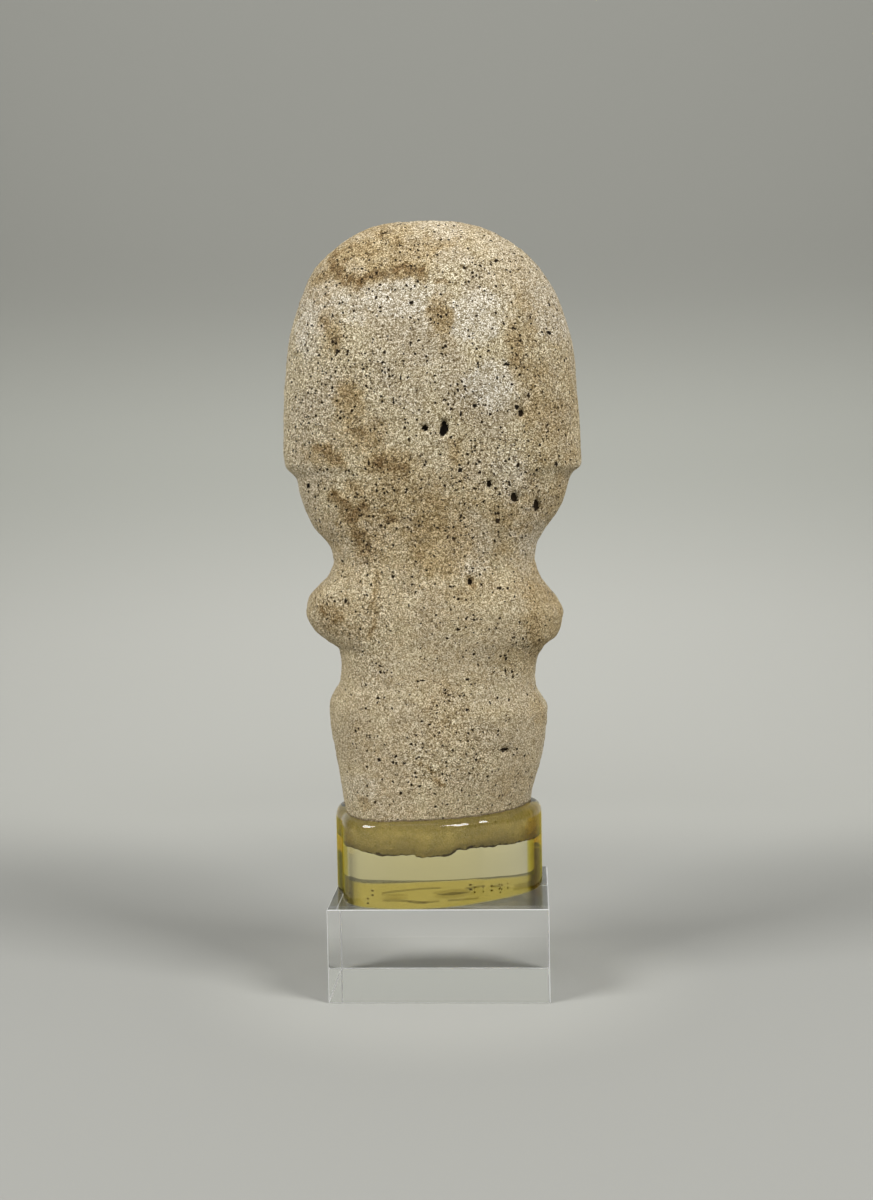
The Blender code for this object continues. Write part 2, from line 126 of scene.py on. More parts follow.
# Earth stains: half their width, how strong they are, and the line that they follow.
STAINS = (
    (1.3, 1, (-25.5, 159.5), (-25, 156), (-22, 152), (-18, 150.2), (-15, 153),
     (-10, 153.6), (-5, 154), (-2.5, 152.8), (-0.8, 150.8)),
    (1.8, 0.6, (-24, 158), (-20.5, 160), (-15, 159.5)),
    (1.3, 0.8, (-18.5, 151), (-16, 152.5)),
    (1.2, 0.6, (-11.5, 163.5), (-8, 162)),
    (0.8, 0.5, (2.5, 159.5), (5, 160), (7.5, 162.5)),
    (1, 0.6, (-30.5, 152.5), (-27.5, 153.5)),
    (1.3, 0.8, (1.5, 143.5), (4, 142.5), (5, 138.5)),
    (1.3, 0.65, (-28, 142.5), (-25, 138), (-23.5, 133.5)),
    (2.4, 0.6, (-22, 122), (-20.5, 119), (-19, 117)),
    (1.1, 0.8, (-30, 108.5), (-26.5, 107), (-23, 102.5)),
    (2.2, 0.6, (-20, 112), (-15, 109.5)),
    (1.7, 0.75, (-13.5, 104), (-9.5, 103), (-7, 101)),
    (2.4, 0.6, (22.5, 133.5), (23.5, 127), (26.5, 125)),
    (4.5, 0.2, (26, 145.5), (27.5, 129.5), (30, 114), (31.5, 101), (29, 92)),
    (0.8, 0.5, (7, 108.5), (7, 104)),
    (1.1, 0.9, (-26.5, 95.5), (-23.5, 94)),
    (1.1, 0.7, (-21, 98), (-18, 96)),
    (1.3, 1, (-22.5, 91), (-20.5, 89), (-18, 91.5)),
    (1.5, 0.85, (-20, 86), (-17.5, 81.5)),
    (1.4, 0.9, (-11, 90.5), (-9.5, 89)),
    (4, 0.4, (-8, 96), (0, 94), (-1.5, 87.5), (3.5, 83), (-1, 78)),
    (2, 0.35, (21, 89), (24.5, 87)),
    (1.5, 0.95, (-29, 65), (-25.5, 63)),
    (4, 0.25, (-29.5, 63.5), (-23, 62.5)),
    (0.6, 0.8, (-17, 57.5), (-15, 62), (-15.5, 66.5), (-14.5, 74.5)),
    (1.3, 0.55, (26, 61.5), (27.5, 55)),
    (2.4, 0.4, (20.5, 50.5), (24.5, 48)),
    (0.9, 0.9, (10, 72.5), (10.5, 71)),
    (1.6, 0.4, (4.5, 68.5), (10, 68)),
    (1.6, 0.45, (27.5, 37.5), (29, 32)),
    (4, 0.25, (0.5, 43.5), (2.5, 34.5)),
    (0.4, 1, (-3.5, 23.8), (-1, 21.5)),
    (0.45, 1.1, (-1, 19.8), (1.8, 18)),
    (0.8, 1, (2.3, 150.5), (4.8, 150.4)),
    (1, 0.7, (-19.5, 13.5), (-18.5, 12.5)),
    (3, 0.3, (18, 16.5), (23.5, 13.5)),
)
# Broad areas of the skin: pale ones, partly bleached and partly painted light that lifts the lower body
# and the right side of the neck, warm ones, and ones that are dark with pores and grime. Each row gives
# the middle, half the width, half the height and the strength.
PALE_AREAS = (
    (-27, 146.5, 5.5, 4.5, 0.8), (-20.5, 143.5, 3.5, 3.5, 0.6), (-5, 146.5, 9, 4, 0.8),
    (12.5, 140.5, 5.5, 6, 0.8), (18, 142.5, 4.5, 3.5, 0.6), (16, 123.5, 5, 5, 0.9),
    (3, 164.5, 6, 3.5, 0.6), (22, 160, 6, 5, 0.5), (30, 148, 4, 8, 0.6), (-32, 138.5, 3.5, 5, 0.7),
    (21, 101, 4, 5, 0.6), (9.5, 82, 5, 7.5, 0.7), (-21, 17, 4.5, 3.5, 0.7), (-20, 155.6, 3, 1.8, 0.6),
    (32.5, 138.5, 3.5, 3.5, 0.7), (7, 156, 4, 3, 0.5), (13, 130, 5, 8, 0.4), (-33, 98, 3.5, 10, 0.3),
    (-3, 130, 9, 14, 0.35), (2, 109, 6, 6, 0.4), (-6, 45, 12, 6, 0.5), (20, 42, 9, 4, 0.6),
    (24, 30, 6, 20, 0.5), (-3, 58, 8, 6, 0.35), (17, 20, 8, 8, 0.4), (-16, 35, 8, 12, 0.4),
    (0, 38, 36, 30, 0.4), (0, 130, 34, 32, 0.25), (25.5, 84, 3.5, 5, 0.9),
)
WARM_AREAS = (
    (-14, 160, 16, 7, 0.8), (8, 163, 16, 6, 0.5), (25, 156, 8, 6, 0.5), (-28, 151, 4, 4, 0.7),
    (3.5, 142, 2.5, 5, 0.8), (4.5, 136, 2, 4, 0.5), (-26, 139, 3, 6, 0.6), (25, 138, 3.5, 10, 0.6),
    (30, 117, 5, 11, 0.7), (33, 138, 3, 14, 0.4), (-20.5, 119, 3, 5, 0.8), (-18, 111, 7, 5, 0.6),
    (-27, 106, 6, 3, 0.7), (-11, 104, 7, 3, 0.8), (7, 106, 2, 5, 0.7), (10, 115, 4, 2, 0.4),
    (-5, 93, 20, 8, 0.6), (-20, 88, 9, 8, 0.6), (24, 89, 6, 6, 0.6), (3, 84, 7, 10, 0.9),
    (28, 100, 4, 10, 0.5), (-14, 78, 5, 10, 0.4), (30, 63, 5, 7, 0.8), (25, 52, 4, 10, 0.5),
    (-27, 62, 4, 3, 0.6), (27, 38, 4, 6, 0.5), (7, 23, 17, 10, 0.5), (0, 50, 36, 44, 0.55),
    (0, 86, 26, 9, 0.7), (34, 105, 6, 26, 0.6), (31, 62, 6, 14, 0.9), (23, 38, 7, 22, 0.6),
)
GRIMY_AREAS = (
    (0, 128, 45, 42, 0.3), (-15.5, 126.5, 6, 4, 1), (10, 119, 5, 3.5, 0.8), (-26, 134, 6, 7, 0.8),
    (-17, 112, 7, 8, 0.5), (-28, 106, 6, 4, 0.6), (-10, 103, 8, 3, 0.8), (18.5, 102, 9, 7, 0.9),
    (30, 118, 6, 12, 0.4), (12, 152, 6, 3, 0.7), (25, 132, 4, 4, 0.8), (3, 142, 3, 3, 0.8),
    (-16, 87.5, 5, 8, 0.9), (-8, 93, 12, 6, 0.6), (4, 96, 12, 5, 0.5), (26, 98, 5, 8, 0.6),
    (-14, 155, 12, 4, 0.6), (-12, 163, 8, 3, 0.5), (-31.5, 116.5, 5.5, 6.5, 0.7), (8, 80, 4, 6, 0.4),
    (26, 57, 3, 4, 0.7), (-27, 63, 5, 4, 0.5), (20, 48, 4, 2, 0.5), (4, 38, 4, 4, 0.4),
    (4, 27, 8, 7, 0.5), (-16, 62, 4, 12, 0.3),
)

# Fine lines cut into the carved front: the parting of the mouth and the lines of the closed lids, laid
# out as the streaks are.
FACE_LINES = (
    (0.8, 1.0, (-7.5, 107.5), (-4.5, 106.9), (-2.0, 107.3), (0.5, 106.9), (3.5, 107.5)),
    (0.7, 0.8, (-16.5, 126.8), (-14.0, 125.9), (-11.5, 125.6), (-9.0, 125.9), (-6.5, 126.8)),
    (0.7, 0.8, (2.5, 126.8), (5.0, 125.9), (7.5, 125.6), (10.0, 125.9), (12.5, 126.8)),
)

# How far the foot's broken underside hangs below the plain one: across and down, in millimetres.
FOOT_LOBES = (
    (-28.0, 0.3), (-21.0, 0.5), (-15.0, 1.2), (-8.0, 1.4), (-6.6, 0.9), (-5.6, 2.2), (0.0, 2.2),
    (2.8, 2.0), (3.8, 0.5), (12.0, 1.0), (17.0, 1.6), (22.0, 2.1), (25.0, 1.4),
)

# Marks in the glue under the resin, seen from above in millimetres from the middle of the block: the
# edges of voids, bubbles, and browner patches with half their width and half their depth. They were
# picked by eye, with the bending of light in the resin worked out by a scratch script.
GLUE_LINES = (
    ((-14.6, -9.4), (-11.3, -8.8), (-7.7, -10.1), (-4.8, -12.6), (-1.2, -10.8)),
    ((-8.5, -11.0), (-6.0, -13.2), (-3.5, -13.0)),
    ((1.0, -10.4), (3.8, -10.1), (8.8, -9.4)),
    ((-14.7, 2.7), (-11.3, 6.9), (-7.9, 9.8), (-3.8, 10.6)),
    ((1.6, 7.7), (4.0, 9.4), (7.0, 9.8)),
    ((8.5, 8.2), (9.7, 7.7), (11.5, 8.4)),
)
GLUE_BUBBLES = (
    (7.5, 4.5), (9.3, 5.5), (10.4, 7.0), (11.5, 6.0), (13.5, 7.5), (12.5, 1.0), (4.0, 4.0), (2.0, 9.0),
    (-16.5, 3.0), (-21.5, -9.0), (-18.0, -10.5),
)
GLUE_PATCHES = ((0.5, 0.2, 4.2, 5.0), (18.0, 5.0, 2.4, 3.5), (-12.0, -3.0, 3.0, 2.5))

# Outline of the socket seen from above, as shares of its width (left to right) and depth (back to
# front): a bowed back face between two tight corners, and a plain oval front.
SOCKET_PLAN = (
    (0.0, 0.69), (0.05, 0.36), (0.09, 0.13), (0.16, 0.04), (0.28, 0.0), (0.43, 0.0), (0.57, 0.04),
    (0.71, 0.14), (0.82, 0.24), (0.92, 0.36), (0.97, 0.46), (1.0, 0.75), (0.93, 0.87), (0.6, 0.98),
    (0.42, 1.0), (0.27, 0.94), (0.06, 0.84),
)


def linear(code):
    """An sRGB hex colour as linear RGB."""
    values = [int(code[i:i + 2], 16) / 255.0 for i in (0, 2, 4)]
    return tuple(v / 12.92 if v <= 0.04045 else ((v + 0.055) / 1.055) ** 2.4 for v in values)


def color_property(name, description, code):
    """A colour that a user can change."""
    return bpy.props.FloatVectorProperty(
        name=name, description=description, subtype="COLOR", default=linear(code), min=0.0, max=1.0)


def length_property(name, description, default):
    """A length that a user can change."""
    return bpy.props.FloatProperty(
        name=name, description=description, unit="LENGTH", default=default, min=0.0, precision=5)


class StoneSettings(bpy.types.PropertyGroup):
    """Sizes and colours of the carved stone."""

    voxel: length_property("Mesh grain", "Size of the remeshed stone's faces", 0.67 * MM)
    swell: length_property("Swell", "Height of the broad unevenness", 0.55 * MM)
    swell_size: length_property("Swell size", "Width of the broad unevenness", 13.0 * MM)
    dress: length_property("Dressing", "Height of the marks left by shaping", 0.34 * MM)
    dress_size: length_property("Dressing size", "Width of the marks left by shaping", 3.4 * MM)
    grit: length_property("Grit", "Height of the coarse grain", 0.16 * MM)
    grit_size: length_property("Grit size", "Width of the coarse grain", 1.5 * MM)
    pit_depth: length_property("Pit depth", "Depth of the largest pits", 1.1 * MM)
    face_cut: length_property("Face cut", "Depth of the fine lines of the face", 0.9 * MM)
    grey: color_property("Grey", "Plain stone", "C5B699")
    cream: color_property("Cream", "Cleaner stone", "D0C19F")
    pale: color_property("Pale", "Bleached stone", "DDD3BE")
    ochre: color_property("Ochre", "Warm stone", "B2996A")
    brown: color_property("Brown", "Earth stains", "7A5F3A")
    umber: color_property("Umber", "Dirt between the grains", "55442F")
    # Painted shade inside pores and pits.
    pore_shade: color_property("Pore shade", "Pores and pits", "1A1510")
    wet: color_property("Wet", "Stone soaked with resin", "D6C068")


class ResinSettings(bpy.types.PropertyGroup):
    """Sizes and colour of the cast resin."""

    rounding: length_property("Rounding", "Radius of the round top edge", 2.8 * MM)
    overlap: length_property("Glue bite", "How far the resin bites into the block", 0.05 * MM)
    tint: color_property("Tint", "Colour that the resin keeps", "FDF29A")
    density: bpy.props.FloatProperty(
        name="Tint density", description="How fast the tint builds up, per metre", default=26.0)
    skin: length_property("Skin", "Thickness of the darker skin at the resin's ends", 0.5 * MM)
    skin_tint: color_property("Skin tint", "Colour that the skin keeps", "FAF445")
    skin_density: bpy.props.FloatProperty(
        name="Skin density", description="How fast the skin's tint builds up, per metre", default=5500.0)
    film: length_property("Glue film", "Thickness of the glue under the resin", 0.3 * MM)
    glue: color_property("Glue", "Colour that the glue keeps", "FDF05A")
    glue_density: bpy.props.FloatProperty(
        name="Glue density", description="How fast the glue's tint builds up, per metre", default=310.0)
    patch: color_property("Patch", "Colour that the browner patches keep", "ECE4AC")
    patch_density: bpy.props.FloatProperty(
        name="Patch density", description="How fast the patches' tint builds up, per metre", default=700.0)
    dirt: color_property("Dirt", "Dust and brown edges in the glue", "5A4818")


class StageSettings(bpy.types.PropertyGroup):
    """Colours and light of the studio."""

    flat: length_property("Flat", "Radius of the flat part of the floor", 0.26)
    bend: length_property("Bend", "Radius of the floor's upward bend", 0.24)
    rim: length_property("Rim", "Height of the backdrop", 0.46)
    front_rim: length_property("Front rim", "Height of the paper behind the camera", 0.25)
    near: color_property("Near", "Paper right round the block", "B7B7B1")
    floor: color_property("Floor", "Paper farther out", "AAAAA5")
    far: color_property("Far", "Paper behind the object", "BCBCB6")
    wall: color_property("Wall", "Paper at eye level", "AEAFA8")
    height: color_property("Height", "Paper high up", "999993")
    side: color_property("Side", "Paper to the left and right", "4A4A46")
    dome: bpy.props.FloatProperty(name="Dome", description="Brightness overhead", default=0.31)
    left: bpy.props.FloatProperty(
        name="Left", description="Power of the left softbox", subtype="POWER", default=13.9)
    right: bpy.props.FloatProperty(
        name="Right", description="Power of the right softbox", subtype="POWER", default=15.4)
    top: bpy.props.FloatProperty(
        name="Top", description="Power of the overhead softbox", subtype="POWER", default=0.6)


def select_only(obj):
    """Makes an object the only one that an operator acts on."""
    bpy.ops.object.select_all(action="DESELECT")
    obj.select_set(True)
    bpy.context.view_layer.objects.active = obj


def apply_modifier(obj, kind, **values):
    """Adds a modifier, sets it and applies it."""
    select_only(obj)
    modifier = obj.modifiers.new(kind.title(), kind)
    for name, value in values.items():
        setattr(modifier, name, value)
    bpy.ops.object.modifier_apply(modifier=modifier.name)


def copy_node(node, name):
    """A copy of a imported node, with its loose triangles merged."""
    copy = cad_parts[node].copy()
    copy.data = copy.data.copy()
    copy.name = copy.data.name = name
    for key in list(copy.keys()):
        del copy[key]
    copy.parent = None
    copy.data.materials.clear()
    bpy.context.scene.collection.objects.link(copy)
    copy.hide_render = copy.hide_viewport = False
    select_only(copy)
    bpy.ops.object.mode_set(mode="EDIT")
    bpy.ops.mesh.select_all(action="SELECT")
    bpy.ops.mesh.remove_doubles(threshold=0.005 * MM)
    bpy.ops.object.mode_set(mode="OBJECT")
    return copy


def add_node(tree, kind, links=(), **values):
    """Adds a node, sets its values and inputs, and links others into it."""
    node = tree.nodes.new(kind)
    inputs = values.pop("inputs", {})
    for name, value in values.items():
        setattr(node, name, value)
    for name, value in inputs.items():
        node.inputs[name].default_value = value
    for source, name in links:
        tree.links.new(source, node.inputs[name])
    return node


def new_material(name):
    """An empty material with an output node, and its tree."""
    material = bpy.data.materials.new(name)
    material.use_nodes = True
    material.node_tree.nodes.clear()
    return material, material.node_tree


def points_of(obj):
    """The places of an object's points, one row each."""
    co = np.empty(len(obj.data.vertices) * 3)
    obj.data.vertices.foreach_get("co", co)
    return co.reshape(-1, 3)


def set_points(obj, co):
    """Moves an object's points."""
    obj.data.vertices.foreach_set("co", co.ravel())
    obj.data.update()


def back_places(co, wobble, amount):
    """Where points lie, in millimetres and shifted by noise, and 1 for the back down to 0 for the front."""
    x = co[:, 0] / MM + wobble[:, 0] * amount
    height = (co[:, 2] - FOOT_Z) / MM + wobble[:, 2] * amount
    return x, height, np.clip((2.0 - co[:, 1] / MM) / 4.0, 0.0, 1.0)


def spot_field(places, rows, softness):
    """How strongly each point lies in one of the oval marks: in full inside it, and 0 past its edge."""
    x, height, on_back = places
    field = np.zeros(len(x))
    for across, up, half_width, half_height, strength in rows:
        reach = np.hypot((x - across) / half_width, (height - up) / half_height)
        field = np.maximum(field, strength * np.clip((1.0 + softness - reach) / softness, 0.0, 1.0))
    return field * on_back


def streak_field(places, rows):
    """How strongly each point lies in one of the streaks: in full on the line, 0 well past its edge."""
    x, height, on_back = places
    field = np.zeros(len(x))
    for half_width, strength, *line in rows:
        for (x1, y1), (x2, y2) in zip(line, line[1:]):
            run, rise = x2 - x1, y2 - y1
            along = np.clip(((x - x1) * run + (height - y1) * rise) / (run * run + rise * rise), 0.0, 1.0)
            reach = np.hypot(x - x1 - along * run, height - y1 - along * rise) / half_width
            field = np.maximum(field, strength * np.clip(1.6 - 0.8 * reach, 0.0, 1.0))
    return field * on_back


def paint(obj, name, values):
    """Stores one number for each point, as an attribute for the material."""
    layer = obj.data.attributes.new(name, "FLOAT", "POINT")
    layer.data.foreach_set("value", values.astype(np.float32))


def weigh(obj, name, values):
    """Stores one weight for each point, for a modifier to follow."""
    group = obj.vertex_groups.new(name=name)
    for index in np.nonzero(values > 0.001)[0]:
        group.add([int(index)], float(values[index]), "REPLACE")
    return group.name


def roughen(obj, name, kind, size, height, **values):
    """Pushes the surface in and out by a procedural texture."""
    texture = bpy.data.textures.new(name, kind)
    texture.noise_scale = size
    for key, value in values.items():
        setattr(texture, key, value)
    apply_modifier(obj, "DISPLACE", texture=texture, texture_coords="LOCAL", strength=height)


def fit_box(obj, low, high):
    """Stretches an object by the last fraction of a millimetre to fill its node's box."""
    co = points_of(obj)
    mesh_low, mesh_high = co.min(0), co.max(0)
    share = (co - mesh_low) / (mesh_high - mesh_low)
    set_points(obj, np.array(low) + share * (np.array(high) - np.array(low)))


def make_stone_material(settings):
    """Carved porous limestone: a matt, chalky skin, grain, open pores, earth and painted shade in its
    hollows.
    """
    material, tree = new_material("carved porous limestone")
    where = add_node(tree, "ShaderNodeTexCoord").outputs["Object"]
    # One unit of the patterns is a millimetre.
    mm = add_node(tree, "ShaderNodeMapping", [(where, "Vector")], inputs={"Scale": (1000.0,) * 3})
    mm = mm.outputs["Vector"]

    def grain(size, detail, roughness=0.55):
        """Noise with grains of one size in millimetres."""
        return add_node(
            tree, "ShaderNodeTexNoise", [(mm, "Vector")],
            inputs={"Scale": 1.0 / size, "Detail": detail, "Roughness": roughness}).outputs["Fac"]

    def ramp(value, low, high, out_low=0.0, out_high=1.0):
        """Turns a range of values into another, with soft ends."""
        return add_node(
            tree, "ShaderNodeMapRange", [(value, "Value")], interpolation_type="SMOOTHSTEP",
            inputs={"From Min": low, "From Max": high, "To Min": out_low, "To Max": out_high},
        ).outputs["Result"]

    def math_node(operation, first, second):
        """One sum of two values or outputs."""
        node = add_node(tree, "ShaderNodeMath", operation=operation)
        for value, socket in ((first, node.inputs[0]), (second, node.inputs[1])):
            if isinstance(value, float):
                socket.default_value = value
            else:
                tree.links.new(value, socket)
        return node.outputs["Value"]

    def times(first, second):
        """The product of two values or outputs."""
        return math_node("MULTIPLY", first, second)

    def mix(factor, first, second, blend="MIX"):
        """Lays one colour over another."""
        node = add_node(tree, "ShaderNodeMix", data_type="RGBA", blend_type=blend)
        for value, socket in ((factor, node.inputs[0]), (first, node.inputs[6]), (second, node.inputs[7])):
            if isinstance(value, float):
                socket.default_value = value
            elif isinstance(value, tuple):
                socket.default_value = (*value, 1.0)
            else:
                tree.links.new(value, socket)
        return node.outputs[2]

    def painted(name):
        """A painted number of the mesh."""
        return add_node(tree, "ShaderNodeAttribute", attribute_name=name).outputs["Fac"]

    def spread(value, amount):
        """Noise turned to swing by an amount about nought."""
        return times(math_node("SUBTRACT", value, 0.5), amount)

    def total(*values):
        """The sum of several values."""
        result = values[0]
        for value in values[1:]:
            result = math_node("ADD", result, value)
        return result

    stain, pale, warmth, grime, pit, hollow = (
        painted(name) for name in ("stain", "pale", "warm", "grime", "pit", "hollow"))
    broad, ragged, clotted = grain(15.0, 3.0), grain(6.0, 6.0, 0.68), grain(2.2, 5.0, 0.72)
    grit, powder = grain(0.8, 4.0, 0.75), grain(0.29, 2.0)

    color = mix(ramp(broad, 0.38, 0.62), tuple(settings.grey), tuple(settings.cream))
    # Pale areas: partly bleached stone, partly painted light on the lower body and the right of the neck.
    whiten = ramp(total(pale, spread(ragged, 1.8), spread(clotted, 0.8)), 0.2, 1.0)
    color = mix(times(whiten, 0.85), color, tuple(settings.pale))
    # A warm wash round the stains, and earth that breaks up along the grain.
    warm = total(
        warmth, times(stain, 0.6), spread(ragged, 1.8), spread(clotted, 1.4), spread(grit, 1.2))
    color = mix(times(ramp(warm, 0.1, 1.3), 0.8), color, tuple(settings.ochre))
    earth = total(
        stain, times(warmth, 0.25), spread(ragged, 1.6), spread(clotted, 2.6), spread(grit, 2.0))
    color = mix(times(ramp(earth, 0.75, 1.5), 0.85), color, tuple(settings.brown))
    # Darker in the fine lines and hollows of the front: painted shade, with some earth in them.
    hollow_shade_and_earth = ramp(total(hollow, spread(clotted, 0.5)), 0.15, 1.0)
    color = mix(times(hollow_shade_and_earth, 0.75), color, tuple(settings.brown))
    # Salt and pepper of single grains, with dirt between them.
    grains = add_node(tree, "ShaderNodeTexVoronoi", [(mm, "Vector")], inputs={"Scale": 1.0 / 0.28})
    grains = add_node(tree, "ShaderNodeSeparateColor", [(grains.outputs["Color"], "Color")])
    salt = ramp(grains.outputs["Red"], 0.0, 1.0, 0.52, 1.31)
    salt = times(salt, ramp(powder, 0.32, 0.60, 0.46, 1.31))
    salt = times(salt, ramp(grit, 0.32, 0.60, 0.76, 1.08))
    # Grimy skin has more contrast from grain to grain.
    salt = math_node("POWER", salt, total(math_node("MINIMUM", grime, 0.35), 1.04))
    # The darker a grain is, the browner.
    salt = add_node(tree, "ShaderNodeCombineColor", [
        (math_node("POWER", salt, 0.9), "Red"), (salt, "Green"), (math_node("POWER", salt, 1.25), "Blue")])
    color = mix(1.0, color, salt.outputs["Color"], "MULTIPLY")
    dirt = total(times(grime, 0.055), times(stain, 0.05), 0.39)
    dirt = ramp(math_node("SUBTRACT", dirt, grit), 0.0, 0.04)
    color = mix(times(dirt, 0.85), color, tuple(settings.umber))

    # The pores' places are shifted a little by noise, so that none is a perfect disc.
    bend = add_node(tree, "ShaderNodeTexNoise", [(mm, "Vector")], inputs={"Scale": 1.6, "Detail": 1.0})
    bend = add_node(
        tree, "ShaderNodeVectorMath", [(bend.outputs["Color"], 0)], operation="SCALE",
        inputs={"Scale": 0.8})
    bent = add_node(
        tree, "ShaderNodeVectorMath", [(mm, 0), (bend.outputs["Vector"], 1)], operation="ADD")

    def pores(size, radius, chance):
        """Open pores, one at most for each cell of one size in millimetres."""
        cells = add_node(
            tree, "ShaderNodeTexVoronoi", [(bent.outputs["Vector"], "Vector")],
            inputs={"Scale": 1.0 / size})
        draw = add_node(tree, "ShaderNodeSeparateColor", [(cells.outputs["Color"], "Color")])
        reach = times(math_node("ADD", draw.outputs["Green"], 0.5), radius / size)
        near = ramp(math_node("SUBTRACT", reach, cells.outputs["Distance"]), 0.0, 0.05)
        drawn = ramp(math_node("SUBTRACT", chance, draw.outputs["Red"]), 0.0, 0.02)
        return times(near, drawn)

    dense = total(times(grime, 0.5), spread(ragged, 1.0))
    small = pores(1.0, 0.28, total(dense, 0.18))
    large = pores(3.0, 0.34, total(times(dense, 0.4), 0.14))
    hole = ramp(total(pit, spread(grit, 1.5)), 0.66, 0.80)
    open_pore = math_node("MAXIMUM", math_node("MAXIMUM", small, large), hole)
    # Pores and pits are painted dark, a painted shade inside them. Small pores are half choked with earth,
    # and so are the large ones where the skin is warm. The others are black inside.
    color = mix(small, color, tuple(0.25 * c for c in settings.umber))
    inside = mix(ramp(warmth, 0.3, 0.9), tuple(settings.pore_shade), tuple(0.5 * c for c in settings.umber))
    color = mix(math_node("MAXIMUM", large, hole), color, inside)

    # Below the resin's top the stone is soaked: deeper in colour, with its grain filled.
    height = add_node(tree, "ShaderNodeSeparateXYZ", [(where, "Vector")]).outputs["Z"]
    height = total(height, spread(clotted, 1.0 * MM))
    soaked = ramp(height, SOCKET_HIGH.z + 0.2 * MM, SOCKET_HIGH.z - 0.3 * MM)
    # Lighter and darker patches in the soaked stone, partly painted reflection of the resin's round top.
    shade = ramp(total(ragged, spread(clotted, 0.4)), 0.36, 0.62)
    shade = mix(shade, tuple(0.82 * c for c in settings.wet), tuple(settings.wet))
    color = mix(times(soaked, 0.85), color, shade)
    # A dark line where the stone meets the resin's top is painted shade. The dark rim along the foot's
    # broken underside is dirt.
    line = math_node("ABSOLUTE", math_node("SUBTRACT", height, SOCKET_HIGH.z + 0.1 * MM), 0.0)
    line = ramp(line, 0.45 * MM, 0.15 * MM)
    rim = ramp(total(painted("foot"), spread(clotted, 1.2)), 0.68, 0.84)
    line = math_node("MAXIMUM", times(line, 0.7), rim)
    color = mix(times(line, 0.85), color, tuple(settings.umber))

    relief = total(times(grit, 0.6), times(powder, 0.4), times(open_pore, -0.9))
    bump = add_node(
        tree, "ShaderNodeBump", [(relief, "Height")], inputs={"Strength": 0.9, "Distance": 0.3 * MM})
    shader = add_node(
        tree, "ShaderNodeBsdfPrincipled", [(color, "Base Color"), (bump.outputs["Normal"], "Normal")],
        inputs={"Roughness": 0.92, "IOR": 1.5, "Specular IOR Level": 0.12})
    add_node(tree, "ShaderNodeOutputMaterial", [(shader.outputs["BSDF"], "Surface")])
    return material


def make_clear_material(name, roughness, ior, tint, density, clear=1.0, glow=0.0):
    """A clear plastic, with its tint built up in its depth."""
    material, tree = new_material(name)
    where = add_node(tree, "ShaderNodeTexCoord").outputs["Object"]
    wave = add_node(
        tree, "ShaderNodeTexNoise", [(where, "Vector")],
        inputs={"Scale": 1.0 / (14.0 * MM), "Detail": 1.0})
    bump = add_node(
        tree, "ShaderNodeBump", [(wave.outputs["Fac"], "Height")],
        inputs={"Strength": 0.3, "Distance": 0.06 * MM})
    shader = add_node(
        tree, "ShaderNodeBsdfPrincipled", [(bump.outputs["Normal"], "Normal")],
        inputs={"Base Color": (1.0, 1.0, 1.0, 1.0), "Roughness": roughness, "IOR": ior,
                "Transmission Weight": clear, "Emission Strength": glow})
    depth = add_node(
        tree, "ShaderNodeVolumeAbsorption", inputs={"Color": (*tint, 1.0), "Density": density})
    add_node(
        tree, "ShaderNodeOutputMaterial",
        [(shader.outputs["BSDF"], "Surface"), (depth.outputs["Volume"], "Volume")])
    return material


